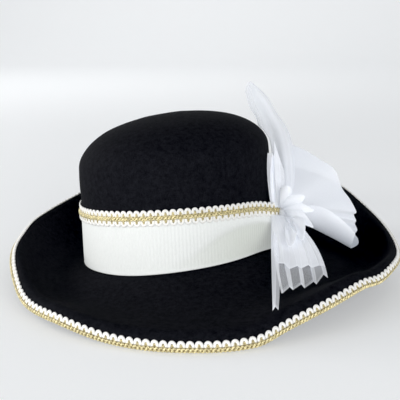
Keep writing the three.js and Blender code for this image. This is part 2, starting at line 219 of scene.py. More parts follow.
# The other panels are fans of cloth that spread from the knot, a row for each fold:
# the middle and the tip of the fold. The layers tell how deep the cloth lies in each face.
FLAP_ROOT = [[-8, 6.5, 4], [2, 6, 5]]
FLAP_ROWS = [
    [-9.7, 33, 6, -7.7, 54.5, 2],
    [-7.5, 33, 8, -3.6, 54, 4],
    [-5, 34, 4, -2.6, 50, 1],
    [-3, 34, 8, -1, 64, -1],
    [1.5, 32, 5, 2.5, 49, 2],
    [5, 28, 6, 5, 40, 3],
]
FLAP_LAYERS = [9, 13, 11, 7, 5]
LOOP_ROOT = [[3, 6, -4.5], [8, -5, 1.5]]
LOOP_ROWS = [
    [12, 30, -26, 19, 56, -42],
    [20, 26, -25, 32, 49, -38],
    [27, 21, -23, 44, 40, -33],
    [32, 16, -21, 55, 31, -27],
    [35, 10, -19, 60, 14, -22],
    [38, 3, -17, 66, 4, -20],
    [40, -2, -16, 71, -8, -18],
    [39, -5, -14, 68, -10, -15],
    [39, -7, -14, 70, -16, -16],
    [38, -9, -12, 68, -18, -12],
    [38, -11, -11, 70, -24, -13],
    [37, -14, -9, 67, -27, -9],
    [37, -17, -6, 69, -31, -7],
    [36, -20, 0, 67, -34, 2],
    [36, -20, 7, 59, -35, 10],
    [35, -14, 12, 60, -29, 15],
    [35, -4, 15, 62, -22, 16],
    [32, 6, 15, 62, -20, 16],
]
LOOP_LAYERS = [9] * 17
LOOP_SHADE = [
    0.22, 0.2, 0.12, 0.03, 0.08, 0.1, 0, 0.08, 0, 0.1, 0.2, 0.4, 0.6, 0.8, 0.85, 0.45, 0.08, 0,
]
LONG_ROOT = [[-6, -5, 7], [8, -5, 5]]
LONG_ROWS = [
    [-12.9, -19.7, 55, -12.9, -46, 96.5],
    [-11.3, -20.6, 56, -12.2, -44.6, 101],
    [-5.7, -22.3, 51, -5.7, -42.8, 92],
    [-2.6, -23.3, 53, -3.9, -44, 97],
    [4.7, -21.6, 48, 4.3, -43.1, 86],
    [6.8, -22.9, 50.5, 5.8, -44.8, 92],
    [12.9, -21.5, 43.5, 15.4, -44.2, 77],
    [15.4, -22.7, 46, 16.5, -44.7, 84],
    [20.3, -20.9, 38.5, 25, -41.3, 68.5],
    [23.2, -21.1, 40.5, 27.8, -43.7, 71.5],
]
LONG_LAYERS = [6, 2.3, 6, 2, 6, 2, 6, 2.8, 6]
SHORT_ROOT = [[-9, 0.9, 10.8], [7, -2, 9]]
SHORT_ROWS = [
    [-12.4, -18.7, 44, -13.2, -27.3, 72],
    [-5.8, -17.1, 46, -6.8, -28, 74],
    [-0.1, -16.5, 43, -3.4, -32.3, 76],
    [2.6, -17.8, 46, 3.5, -31.2, 73],
    [7, -15.6, 42, 6.3, -32.9, 75],
    [10.4, -16.1, 45, 12.8, -31.7, 71],
    [12.4, -13.7, 41, 15.2, -33.7, 73],
    [15.7, -15.1, 44, 21.8, -33.8, 67],
    [17.7, -12.2, 40, 27.2, -35.9, 65],
]
SHORT_LAYERS = [10, 8, 7, 7, 8, 5, 7, 4]
STRIP_ROOT = [[-10, -6.5, 11.6], [-7, -6.5, 12]]
STRIP_ROWS = [
    [-17.5, -26, 78, -24.6, -44.4, 145],
    [-14.5, -28, 79, -22.4, -42.2, 143],
    [-11.5, -29, 77, -20.4, -44.5, 144],
]
STRIP_LAYERS = [6, 3.4]
# Rosette: a row for each soft pleat, with its root, and the left, middle and right of its hem
ROSETTE_PLEATS = [
    [[3.7, -4.5, 12], [8.2, -9.7, 46], [1.9, -18, 55], [-2.3, -14, 54]],
    [[4.2, -1.9, 12], [17.1, -3.9, 36], [12.8, -15.3, 46], [8.1, -10.6, 46]],
    [[3.8, 0.7, 11], [17.8, 3.2, 25], [23.8, -8.2, 32], [17.9, -5.1, 30]],
    [[3.2, 3.2, 10], [16.6, 11.1, 22], [26.1, 5.1, 25], [19.6, 2.9, 24]],
    [[2.5, 5.3, 9], [8.3, 18.4, 19], [19.4, 17.6, 22], [16.7, 11, 21]],
    [[1.4, 6.1, 8], [0.5, 25.2, 16], [6.4, 26.7, 18], [10, 21.6, 18]],
]

# Thickness of the organza as it is drawn
CLOTH = 0.25
# Lines of points from one fold to the next, as shares of the way, for soft and for crisp panels
SOFT_STOPS = [0, 0.25, 0.5, 0.75]
CRISP_STOPS = [0, 0.08, 0.3, 0.5, 0.7, 0.92]
# Layers that a fold, a hem and the gathered root add, and the root's shade
FOLD_LAYERS = 2.0
HEM_LAYERS = 3.0
SOFT_HEM_LAYERS = 0.5
HEM_WIDTH = 0.9
ROOT_LAYERS = 5.0
ROOT_SHADE = 0.25

# Materials: a fine noise in cells per metre with its detail and stretch, a darker and a lighter
# tone of the colour, the relief's depth in metres and its strength, the tone of painted shade that
# a value of the mesh's points turns it to, how much one layer covers, and the shader's plain values
LOOKS = {
    "wool_felt": {
        "grain": (1400, 4),
        "mottle": (260, 5),
        "tones": (0.45, 1.9),
        "relief": (0.0003, 0.7),
        "values": {"Roughness": 0.7, "Specular IOR Level": 0.02},
    },
    "ivory_grosgrain": {
        "grain": (1600, 2, (1, 1, 0.25)),
        "tones": (0.95, 1.03),
        "relief": (0.0001, 0.5),
        "dark": ("shade", (0.3, 0.34, 0.22)),
        "values": {
            "Roughness": 0.6, "Specular IOR Level": 0.3, "Sheen Weight": 0.1,
            # A painted glow that lifts the ribbon's shaded parts, standing in for light through the cloth
            "Emission Color": (0.97, 1, 0.985, 1), "Emission Strength": 0.26,
        },
    },
    "white_cord": {
        "grain": (2600, 2),
        "tones": (0.9, 1.04),
        "relief": (0.0001, 0.6),
        "values": {"Roughness": 0.5, "Specular IOR Level": 0.35, "Sheen Weight": 0.15},
    },
    "gold_thread": {
        "grain": (750, 3),
        "tones": (0.5, 1.35, 0.36, 0.6),
        "relief": (0.0002, 0.8),
        # The braid's depth value paints shade into its recesses: under the strands, inside the loops and on
        # the core
        "dark": ("depth", (0.16, 0.105, 0.03)),
        "values": {"Metallic": 0.25, "Roughness": 0.38},
    },
    "sheer_organza": {
        "grain": (1800, 1),
        "tones": (0.97, 1.02),
        "dark": ("shade", (0.34, 0.39, 0.47)),
        "cover": 0.22,
        "values": {
            "Roughness": 0.55, "Specular IOR Level": 0.25, "Sheen Weight": 0.2,
            # A painted glow that stands in for light soaking through the sheer cloth
            "Emission Color": (0.96, 0.975, 1, 1), "Emission Strength": 0.115,
        },
    },
    "pale_paper": {
        "grain": (300, 2),
        "tones": (0.995, 1.005),
        "values": {
            "Roughness": 0.9, "Specular IOR Level": 0.1,
            "Emission Color": (0.97, 0.985, 1, 1), "Emission Strength": 0.33,
        },
    },
}

# Camera, in metres and degrees, at the photo's angle
CAMERA_PLACE = (0.1812, -0.7120, 0.2387)
CAMERA_AZIMUTH_DEG = 14.42
CAMERA_HEIGHT_DEG = 13.46
CAMERA_ROLL_DEG = -1.2
CAMERA_LENS = 73.7
SENSOR = 36.0
# Lights: name, place, aim, size, power and colour
LIGHTS = (
    ("key", (-1.6, -1.25, 0.32), (0, 0, 0.07), 1.0, 23, (1, 0.99, 0.97)),
    ("fill", (1.0, -1.85, 0.42), (0, 0, 0.07), 1.5, 35, (1, 1, 1)),
    ("side", (-2.3, 0.6, 0.9), (-1.1, 0.9, 0), 1.0, 22, (1, 1, 1)),
    ("backdrop", (-0.8, 1.6, 1.3), (-0.6, 3.2, 0.3), 1.2, 6, (1, 1, 1)),
)
WORLD_LIGHT = 0.32
# The picture's raised black, and how many see-through surfaces light may pass
BLACK_LEVEL = 0.0063
CLEAR_BOUNCES = 40


# Curves and tables


def bell(value, width, power=2):
    """A hump of height 1 round nought, that falls away over a width."""
    return np.exp(-(np.abs(value / width) ** power))


def soft_step(value, softness):
    """A smooth step from 0 to 1, where a value passes nought."""
    return 1 / (1 + np.exp(-value / softness))


def degrees_from(direction, angle):
    """How far angles lie round from a direction, from -180 to 180 degrees."""
    return (np.degrees(angle) - direction + 180) % 360 - 180


def hump(angle, direction, size, spread):
    """A smooth hump at one direction round the crown."""
    return size * bell(degrees_from(direction, angle), spread)


def circle(count):
    """Evenly spaced directions all round."""
    return 2 * math.pi * np.arange(count) / count


def walked(points):
    """How far along a path each of its points is."""
    hops = np.linalg.norm(np.diff(points, axis=0), axis=1)
    return np.concatenate([[0], np.cumsum(hops)])


def at_lengths(wanted, walk, points):
    """Points of a path at wanted lengths along it."""
    return np.stack([np.interp(wanted, walk, points[:, c]) for c in range(3)], -1)


def hermite(t, low, high, slope_in, slope_out):
    """A value between two others on a smooth curve that leaves and arrives with given slopes."""
    return (
        (2 * t**3 - 3 * t**2 + 1) * low
        + (t**3 - 2 * t**2 + t) * slope_in
        + (3 * t**2 - 2 * t**3) * high
        + (t**3 - t**2) * slope_out
    )


def smooth_between(values, places):
    """Values on a smooth curve through evenly spaced ones."""
    i = np.minimum(places.astype(int), len(values) - 2)
    slopes = np.gradient(values)
    return hermite(places - i, values[i], values[i + 1], slopes[i], slopes[i + 1])


def round_table(rows, column, degrees):
    """A value between the rows of a table, smooth and closed round the circle."""
    n = len(rows)
    start = rows[0][0]
    a = (degrees - start) % 360 + start
    i = max(k for k in range(n) if rows[k][0] <= a + 1e-9)
    near = []
    for k in range(i - 1, i + 3):
        turns, m = divmod(k, n)
        near.append((rows[m][0] + 360 * turns, rows[m][column]))
    (x0, y0), (x1, y1), (x2, y2), (x3, y3) = near
    h = x2 - x1
    return hermite((a - x1) / h, y1, y2, h * (y2 - y0) / (x2 - x0), h * (y3 - y1) / (x3 - x1))


def through(a, b, c, t):
    """Points on a curve through three others, at shares of the way from 0 to 1."""
    return (1 - t) * (1 - 2 * t) * a + 4 * t * (1 - t) * b + t * (2 * t - 1) * c


# Shapes of the hat


def oval_radius(angle, grow=0.0):
    """Radius of the crown's oval in one direction, grown outwards."""
    return 1 / np.hypot(np.cos(angle) / HALF_WIDTH, np.sin(angle) / HALF_LENGTH) + grow


def foot_height(x, y):
    """Height of the crown's foot."""
    return FOOT_HEIGHT + FOOT_SLOPE_ACROSS * x - FOOT_DROP_BACK * np.maximum(0, y) ** 2 / 100


def crown_points(angle, height, size, shift, rise, grow):
    """Points on one ring of the crown, for an array of directions."""
    turn = math.radians(SIDE_TURN_DEG)
    radius = oval_radius(angle) * size + grow
    x = radius * np.cos(angle)
    y = radius * np.sin(angle)
    side = x * math.cos(turn) + y * math.sin(turn)
    foot = foot_height(x, y) * np.maximum(0, 1 - height / 60)
    z = height + foot + rise * side
    return np.stack([x + shift * math.cos(turn), y + shift * math.sin(turn), z], -1)


def beside_crown(angle, level, out):
    """Points beside the crown's side, out from the felt, at given levels."""
    heights = [row[0] for row in CROWN_ROWS]
    size, shift, rise = (
        np.interp(level, heights, [row[c] for row in CROWN_ROWS]) for c in (1, 2, 3)
    )
    points = crown_points(angle, level, size, shift, rise, out)
    points[..., 2] = level
    return points


def braid_line(angle):
    """Height of the braid's middle on the crown."""
    x = oval_radius(angle) * np.cos(angle)
    y = oval_radius(angle) * np.sin(angle)
    lift = BRAID_LIFT_RIGHT * np.minimum(0, x) ** 2 / 100
    return BRAID_LINE_HEIGHT - BRAID_LINE_SLOPE * y + lift + hump(angle, *BRAID_RISE)


def rounded(corner, before, after, cut, steps):
    """Points on the curve that rounds a corner off."""
    a = corner + (before - corner) * cut / np.linalg.norm(before - corner)
    b = corner + (after - corner) * cut / np.linalg.norm(after - corner)
    t = np.linspace(0, 1, steps + 1)[:, None]
    return (1 - t) ** 2 * a + 2 * t * (1 - t) * corner + t**2 * b


def between(a, b, count):
    """Points between two others, without the ends."""
    t = np.linspace(0, 1, count + 2)[1:-1, None]
    return a + (b - a) * t


def brim_line(angle):
    """The felt's middle line in one direction, from the crown's foot out to the edge."""
    degrees = math.degrees(angle)
    inner = oval_radius(angle, -FELT / 2)
    foot = float(foot_height(inner * math.cos(angle), inner * math.sin(angle)))
    collar = np.array([inner, foot + COLLAR_HEIGHT])
    corner = np.array([inner, foot])
    row = np.array([round_table(BRIM_ROWS, c, degrees) for c in range(1, 7)])
    turn, trim, rim = row[:2], row[2:4], row[5]
    slope = math.radians(row[4])
    out = np.array([math.cos(slope), math.sin(slope)])
    edge = trim - TRIM_REACH * out
    crest = edge - rim * out
    reach = min(np.linalg.norm(turn - corner), np.linalg.norm(turn - crest))
    foot_arc = rounded(corner, collar, turn, 2, 4)
    turn_arc = rounded(turn, corner, crest, min(TURN_CUT, 0.6 * reach), 10)
    crest_arc = rounded(crest, turn, edge, CREST_CUT, 10)
    parts = [
        collar[None],
        foot_arc,
        between(foot_arc[-1], turn_arc[0], 5),
        turn_arc,
        between(turn_arc[-1], crest_arc[0], 3),
        crest_arc,
        between(crest_arc[-1], edge, 3),
        edge[None],
    ]
    line = np.concatenate(parts)
    return np.stack([line[:, 0] * math.cos(angle), line[:, 0] * math.sin(angle), line[:, 1]], -1)


def brim_grid(count):
    """The felt's middle surface: a line of points for each direction round the brim."""
    return np.array([brim_line(2 * math.pi * i / count) for i in range(count)])


def grid_normals(grid, closed):
    """Unit normals of a grid of points; the rows may close round."""
    if closed:
        along = np.roll(grid, -1, 0) - np.roll(grid, 1, 0)
    else:
        along = np.gradient(grid, axis=0)
    across = np.gradient(grid, axis=1)
    normal = np.cross(across, along)
    return normal / np.linalg.norm(normal, axis=-1, keepdims=True)


# Setting the hat down on the table


def leaned(points):
    """Points of the hat's own frame, leaned as the hat rests."""
    lean = Matrix.Rotation(-math.radians(LEAN_BACK_DEG), 3, "X")
    lean = lean @ Matrix.Rotation(-math.radians(LEAN_TO_RIGHT_DEG), 3, "Y")
    return points @ np.array(lean).T


def set_down():
    """How far the leaned hat moves to stand where the frame's crown stands."""
    rings = [crown_points(circle(CAD_ROUND_CROWN), *row, 0.0) for row in CROWN_ROWS]
    points = leaned(np.concatenate([*rings, [crown_top(CROWN_TOP)]]))
    return np.array(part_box("crown")[1]) / MM - points.max(0)


def crown_top(height):
    """The point at the middle of the crown's top."""
    shift, rise = CROWN_ROWS[-1][2:]
    turn = math.radians(SIDE_TURN_DEG)
    return np.array([shift * math.cos(turn), shift * math.sin(turn), height + rise * shift])


PLACE = set_down()


def on_table(points):
    """Hat points in millimetres as frame points in metres, none of them below the table."""
    placed = leaned(np.asarray(points, float).reshape(-1, 3)) + PLACE
    placed[:, 2] = np.maximum(placed[:, 2], 0)
    return placed * MM


# Meshes


def ring_faces(rows, columns, close_rows, close_columns):
    """Quads of a grid of points that may close along either way."""
    i, k = np.meshgrid(
        np.arange(rows if close_rows else rows - 1),
        np.arange(columns if close_columns else columns - 1),
        indexing="ij",
    )
    i, k = i.ravel(), k.ravel()
    j, m = (i + 1) % rows, (k + 1) % columns
    return np.stack([i * columns + k, j * columns + k, j * columns + m, i * columns + m], -1)


def capped(rings, columns):
    """Faces of a stack of rings, closed by a point at the first ring and one at the last."""
    faces = ring_faces(rings, columns, False, True).tolist()
    first = rings * columns
    last = first - columns
    for k in range(columns):
        after = (k + 1) % columns
        faces.append([first, k, after])
        faces.append([first + 1, last + after, last + k])
    return faces


def sheet(grid, thickness):
    """A thin closed sheet round a grid of points: its points and its faces."""
    rows, columns = grid.shape[:2]
    offset = grid_normals(grid, False) * thickness / 2
    points = np.concatenate([(grid + offset).reshape(-1, 3), (grid - offset).reshape(-1, 3)])
    front = ring_faces(rows, columns, False, False)
    back = front[:, ::-1] + rows * columns
    index = np.arange(rows * columns).reshape(rows, columns)
    edge = np.concatenate([index[:-1, 0], index[-1, :-1], index[:0:-1, -1], index[0, :0:-1]])
    after = np.roll(edge, -1)
    wall = np.stack([edge, edge + rows * columns, after + rows * columns, after], -1)
    return points, np.concatenate([front, back, wall])


def tube(path, outs, radius, sides=8, flat=1.0):
    """A closed cord along a closed path: its points and its faces."""
    ahead = np.roll(path, -1, 0) - np.roll(path, 1, 0)
    ahead /= np.linalg.norm(ahead, axis=1, keepdims=True)
    across = np.cross(ahead, outs)
    across /= np.linalg.norm(across, axis=1, keepdims=True)
    up = np.cross(across, ahead)
    turn = circle(sides)[None, :, None]
    ring = across[:, None] * np.cos(turn) + up[:, None] * np.sin(turn) * flat
    points = path[:, None] + ring * radius
    return points.reshape(-1, 3), ring_faces(len(path), sides, True, True)


def piece(name, points, faces, material, slot, nodes, floats=None, crisp_deg=None):
    """A finished mesh of the hat that rides on the frame and stands for its nodes."""
    mesh = bpy.data.meshes.new(name)
    mesh.from_pydata(on_table(points).tolist(), [], [list(map(int, f)) for f in faces])
    shape = bmesh.new()
    shape.from_mesh(mesh)
    bmesh.ops.recalc_face_normals(shape, faces=shape.faces)
    shape.to_mesh(mesh)
    shape.free()
    mesh.polygons.foreach_set("use_smooth", [True] * len(mesh.polygons))
    for key, values in (floats or {}).items():
        layer = mesh.attributes.new(key, "FLOAT", "POINT")
        layer.data.foreach_set("value", np.asarray(values, np.float32).ravel())
    mesh.update()
    if crisp_deg is not None:
        mesh.set_sharp_from_angle(angle=math.radians(crisp_deg))
    made = bpy.data.objects.new(name, mesh)
    bpy.context.scene.collection.objects.link(made)
    made.data.materials.append(material)
    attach(made, "root")
    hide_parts(*nodes)
    return made


# Materials


def speckle(tree, scale, detail, stretch=(1, 1, 1)):
    """Noise in the object's own space, with a scale in cells per metre."""
    place = tree.nodes.new("ShaderNodeTexCoord")
    mapping = tree.nodes.new("ShaderNodeMapping")
    mapping.inputs["Scale"].default_value = stretch
    tree.links.new(place.outputs["Object"], mapping.inputs["Vector"])
    noise = tree.nodes.new("ShaderNodeTexNoise")
    noise.inputs["Scale"].default_value = scale
    noise.inputs["Detail"].default_value = detail
    tree.links.new(mapping.outputs["Vector"], noise.inputs["Vector"])
    return noise.outputs["Fac"]


def blend_colour(tree, factor, colour, darker, lighter, start=0.3, end=0.7):
    """A colour that goes from a darker to a lighter tone as the factor rises."""
    ramp = tree.nodes.new("ShaderNodeValToRGB")
    stops = zip(ramp.color_ramp.elements, (start, end), (darker, lighter))
    for stop, position, strength in stops:
        stop.position = position
        stop.color = (*(min(1, c * strength) for c in colour), 1)
    tree.links.new(factor, ramp.inputs["Fac"])
    return ramp.outputs["Color"]


def bump(tree, height, distance, strength):
    """Small relief, with its depth in metres."""
    node = tree.nodes.new("ShaderNodeBump")
    node.inputs["Distance"].default_value = distance
    node.inputs["Strength"].default_value = strength
    tree.links.new(height, node.inputs["Height"])
    return node.outputs["Normal"]


def maths(tree, operation, a, b):
    """One arithmetic step between sockets or numbers."""
    node = tree.nodes.new("ShaderNodeMath")
    node.operation = operation
    for value, socket in zip((a, b), node.inputs):
        if isinstance(value, (int, float)):
            socket.default_value = value
        else:
            tree.links.new(value, socket)
    return node.outputs["Value"]


def point_value(tree, name):
    """A value that the mesh carries at its points."""
    attribute = tree.nodes.new("ShaderNodeAttribute")
    attribute.attribute_name = name
    return attribute.outputs["Fac"]


def darkened(tree, tone, name, dark):
    """A tone that turns to a dark one, a painted shade, as a value of the mesh's points rises."""
    mix = tree.nodes.new("ShaderNodeMix")
    mix.data_type = "RGBA"
    tree.links.new(point_value(tree, name), mix.inputs["Factor"])
    tree.links.new(tone, mix.inputs["A"])
    mix.inputs["B"].default_value = (*dark, 1)
    return mix.outputs["Result"]


def look(name, colour):
    """The material of that name, made when it is first asked for."""
    if name in bpy.data.materials:
        return bpy.data.materials[name]
    material = bpy.data.materials.new(name)
    material.use_nodes = True
    tree = material.node_tree
    tree.nodes.clear()
    shader = tree.nodes.new("ShaderNodeBsdfPrincipled")
    output = tree.nodes.new("ShaderNodeOutputMaterial")
    tree.links.new(shader.outputs["BSDF"], output.inputs["Surface"])
    recipe = LOOKS[name]
    grain = mixed = speckle(tree, *recipe["grain"])
    if "mottle" in recipe:
        fine = maths(tree, "MULTIPLY", grain, 0.6)
        mixed = maths(tree, "ADD", fine, maths(tree, "MULTIPLY", speckle(tree, *recipe["mottle"]), 0.4))
    tone = blend_colour(tree, mixed, colour, *recipe["tones"])
    if "dark" in recipe:
        tone = darkened(tree, tone, *recipe["dark"])
    tree.links.new(tone, shader.inputs["Base Color"])
    if "relief" in recipe:
        tree.links.new(bump(tree, grain, *recipe["relief"]), shader.inputs["Normal"])
    if "cover" in recipe:
        each_face = maths(tree, "MULTIPLY", point_value(tree, "layers"), 0.5)
        passed = maths(tree, "POWER", 1 - recipe["cover"], each_face)
        tree.links.new(maths(tree, "SUBTRACT", 1.0, passed), shader.inputs["Alpha"])
    for socket, value in recipe["values"].items():
        shader.inputs[socket].default_value = value
    return material


# Felt


def make_crown(sizes, colours):
    """The domed crown, hollow for the head."""
    felt = sizes.felt_thickness / MM
    around = circle(CROWN_COLUMNS)
    rows = np.array(CROWN_ROWS)
    places = np.linspace(0, len(rows) - 1, 3 * (len(rows) - 1) + 1)
    smooth = np.stack([smooth_between(rows[:, c], places) for c in range(4)], -1)
    rings = [crown_points(around, *row, 0.0) for row in smooth[::-1]]
    for height, size, shift, rise in smooth:
        domed = min(1, max(0, (height - DOME_FROM) / DOME_RISE))
        inward = -felt * (1 - 0.55 * domed)
        rings.append(crown_points(around, height - felt * domed, size, shift, rise, inward))
    tops = [[crown_top(CROWN_TOP)], [crown_top(CROWN_TOP - felt)]]
    points = np.concatenate([*rings, *tops])
    material = look("wool_felt", colours.felt)
    piece("felt_crown", points, capped(len(rings), CROWN_COLUMNS), material, "felt", ["crown"])


def make_brim(sizes, colours):
    """The brim, dipped in front and turned up at the sides and back."""
    grid = brim_grid(BRIM_COLUMNS)
    offset = grid_normals(grid, True) * (sizes.felt_thickness / MM) / 2
    sections = np.concatenate([grid + offset, (grid - offset)[:, ::-1]], axis=1)
    faces = ring_faces(*sections.shape[:2], True, True)
    material = look("wool_felt", colours.felt)
    piece("felt_brim", sections.reshape(-1, 3), faces, material, "felt", ["brim"], crisp_deg=50)


# Ribbon


def band_walk(below, out):
    """Directions round the crown and how far it is to each, below the braid's line."""
    turns = np.linspace(0, 2 * math.pi, 2881)
    return turns, walked(beside_crown(turns, braid_line(turns) - below, out))


def make_ribbon(sizes, colours):
    """The wide ribbed ribbon round the crown."""
    turns, walk = band_walk(RIBBON_MIDDLE, GAP + RIBBON)
    columns = RIB_POINTS * round(walk[-1] / (sizes.rib_spacing / MM))
    angle = np.interp(np.arange(columns) / columns * walk[-1], walk, turns)
    rib = RIB_DEPTH * np.cos(2 * math.pi * np.arange(columns) / RIB_POINTS)
    radius = oval_radius(angle)
    foot = foot_height(radius * np.cos(angle), radius * np.sin(angle)) + RIBBON_LIFT
    foot = foot - hump(angle, *FRONT_DIP)
    top = braid_line(angle) - 1
    drawn = hump(angle, *DRAWN_OUT)
    from_pocket = degrees_from(POCKET_DEG, angle)
    pocket = bell(from_pocket - 6, 42, 3)
    pocket_top = POCKET_TOP * bell(from_pocket, 37, 3)
    heights = np.concatenate([[0, 0.02, 0.045, 0.07], np.linspace(0.14, 1, 16)])
    rings = []
    for t in heights:
        level = foot + (top - foot) * t - drawn * (0.25 + 0.35 * t)
        selvage = SELVAGE * bell(t - 0.02, 0.02)
        under_braid = min(1, max(0, (0.86 - t) / 0.12))
        fold = POCKET_DEPTH * pocket * under_braid * soft_step(t - pocket_top, 0.025)
        out = GAP + RIBBON + 0.2 * (1 - t) + selvage + rib * (t > 0.05)
        rings.append(beside_crown(angle, level, out + drawn * (0.8 + 0.2 * t) + fold))
    rings.append(beside_crown(angle, top - 0.6 * drawn, GAP + 0.1 + drawn))
    rings.append(beside_crown(angle, foot - 0.25 * drawn, GAP + 0.2 + 0.8 * drawn))
    grid = np.array(rings)
    levels = np.append(heights, [1, 0])[:, None]
    # Painted shade in the pocket below the fold and, more lightly, over the whole ribbon; none along the
    # woven edge, which so shows as a painted highlight
    shade = POCKET_SHADE * pocket * soft_step(pocket_top - levels, 0.03)
    shade = (RIBBON_SHADE + shade) * (1 - bell(levels, 0.035))
    faces = ring_faces(*grid.shape[:2], True, True)
    material = look("ivory_grosgrain", colours.ribbon)
    floats = {"shade": shade}
    piece("grosgrain_ribbon", grid.reshape(-1, 3), faces, material, "ribbon", ["ribbon_band"], floats)


# Gimp braid: white cord in loops on both sides of a gold rope


def loop_path(count, width, height, samples):
    """One side's row of loops: for each point, how far along in loops and how far across."""
    t = np.linspace(-1, 1, samples, endpoint=False) + 1 / samples
    swing = np.sin(math.pi * 0.5 * t * 1.4) * width
    rise = np.cos(math.pi * 0.5 * t) ** 0.8 * height
    along = np.arange(count)[:, None] + 0.5 + swing[None]
    return along.ravel(), np.tile(rise, count)


def rope_path(count, strand, width):
    """One of a flat rope's two strands: how far along, across and out."""
    t = np.arange(count * ROPE_POINTS) / ROPE_POINTS
    phase = 2 * math.pi * (t + strand / 2)
    return t, width * np.sin(phase), ROPE_DEPTH * np.cos(phase)


def make_gimp(name, count, lay, heights, rope, sizes, colours, nodes):
    """A length of gimp laid on a track; lay turns along, across and out into points."""
    cord = sizes.cord / MM
    gold = sizes.gold_thread / MM
    white_parts = []
    gold_parts = []
    recess_shades = []

    # Each gold part carries a depth value: a painted shade that darkens it in the braid's recesses
    def add_gold(along, across, out, radius, sides, depth, flat=1.0):
        path, outs = lay(along / count, across, out)
        gold_parts.append(tube(path, outs, radius, sides, flat))
        recess_shades.append(np.repeat(depth, sides))

    for side, height in zip((1, -1), heights):
        along, across = loop_path(count, LOOP_HALF_WIDTH, height - cord / 2, 16)
        raised = np.clip(across / (0.6 * height), 0, 1)
        path, outs = lay(along / count, side * across, 0.35 * cord * (0.35 + 0.65 * raised))
        white_parts.append(tube(path, outs, cord / 2, 8, 0.7))
    # The rope's strands, with painted shade where each dips under the other
    for strand in range(2):
        along, across, out = rope_path(count, strand, rope)
        add_gold(along, across, ROPE_OUT + out, gold / 2, 8, np.clip(0.4 - out, 0, 1) * 0.5)
    for side, height in zip((1, -1), heights):
        for width, reach, thick in GOLD_HOOKS:
            along, across = loop_path(count, width, reach * height, 9)
            level = 0 * across
            # Painted shade in the hooks, deeper towards the rope
            depth = 0.3 + 0.45 * (1 - across / across.max())
            add_gold(along, side * across, level + HOOK_OUT * cord, gold / 2 * thick, 6, depth)
    # The core under the rope, in heavy painted shade
    along = np.arange(count * 4) / 4
    level = 0 * along
    add_gold(along, level, level + CORE_OUT, rope + 0.7, 8, level + 0.85, 0.3)
    cord_look = look("white_cord", colours.cord)
    gold_look = look("gold_thread", colours.gold)
    piece(name + "_white_loops", *join_parts(white_parts), cord_look, "white_braid", [nodes[0]])
    floats = {"depth": np.concatenate(recess_shades)}
    piece(name + "_gold_rope", *join_parts(gold_parts), gold_look, "gold_braid", [nodes[1]], floats)


def join_parts(parts):
    """Several meshes' points and faces as one."""
    points = []
    faces = []
    before = 0
    for more_points, more_faces in parts:
        points.append(more_points)
        faces.append(more_faces + before)
        before += len(more_points)
    return np.concatenate(points), np.concatenate(faces)


def closed_lookup(places, table):
    """Rows of a closed table at places from 0 to 1 round it."""
    n = len(table)
    where = (places % 1) * n
    i = where.astype(int) % n
    t = (where - np.floor(where)).reshape(-1, *([1] * (table.ndim - 1)))
    return table[i] * (1 - t) + table[(i + 1) % n] * t


def make_band_gimp(sizes, colours):
    """The braid along the ribbon's top edge."""
    turns, walk = band_walk(0, 2.0)

    def lay(places, across, out):
        angle = np.interp((places % 1) * walk[-1], walk, turns)
        seat = GAP + RIBBON + 0.1 - 0.9 * np.clip((across + 1.5) / 2.5, 0, 1)
        drawn = hump(angle, *DRAWN_OUT)
        path = beside_crown(angle, braid_line(angle) - 0.5 + across - 0.6 * drawn, seat + out + drawn)
        outs = np.stack([np.cos(angle), np.sin(angle), np.zeros(len(angle))], -1)
        return path, outs

    count = 2 * round(walk[-1] / sizes.band_loop * MM / 2)
    nodes = ["band_braid", "band_braid_gold"]
    make_gimp("band", count, lay, BAND_LOOP_HEIGHTS, BAND_ROPE, sizes, colours, nodes)


def rim_table(count, reach, step):
    """The felt's edge all round: its middle surface and normals at steps in from the edge."""
    grid = brim_grid(count)
    up = grid_normals(grid, True)
    wanted = np.arange(0, reach + step, step)
    points = []
    normals = []
    for line, normal in zip(grid[:, ::-1], up[:, ::-1]):
        walk = walked(line)
        points.append(at_lengths(wanted, walk, line))
        normals.append(at_lengths(wanted, walk, normal))
    return np.array(points), np.array(normals)


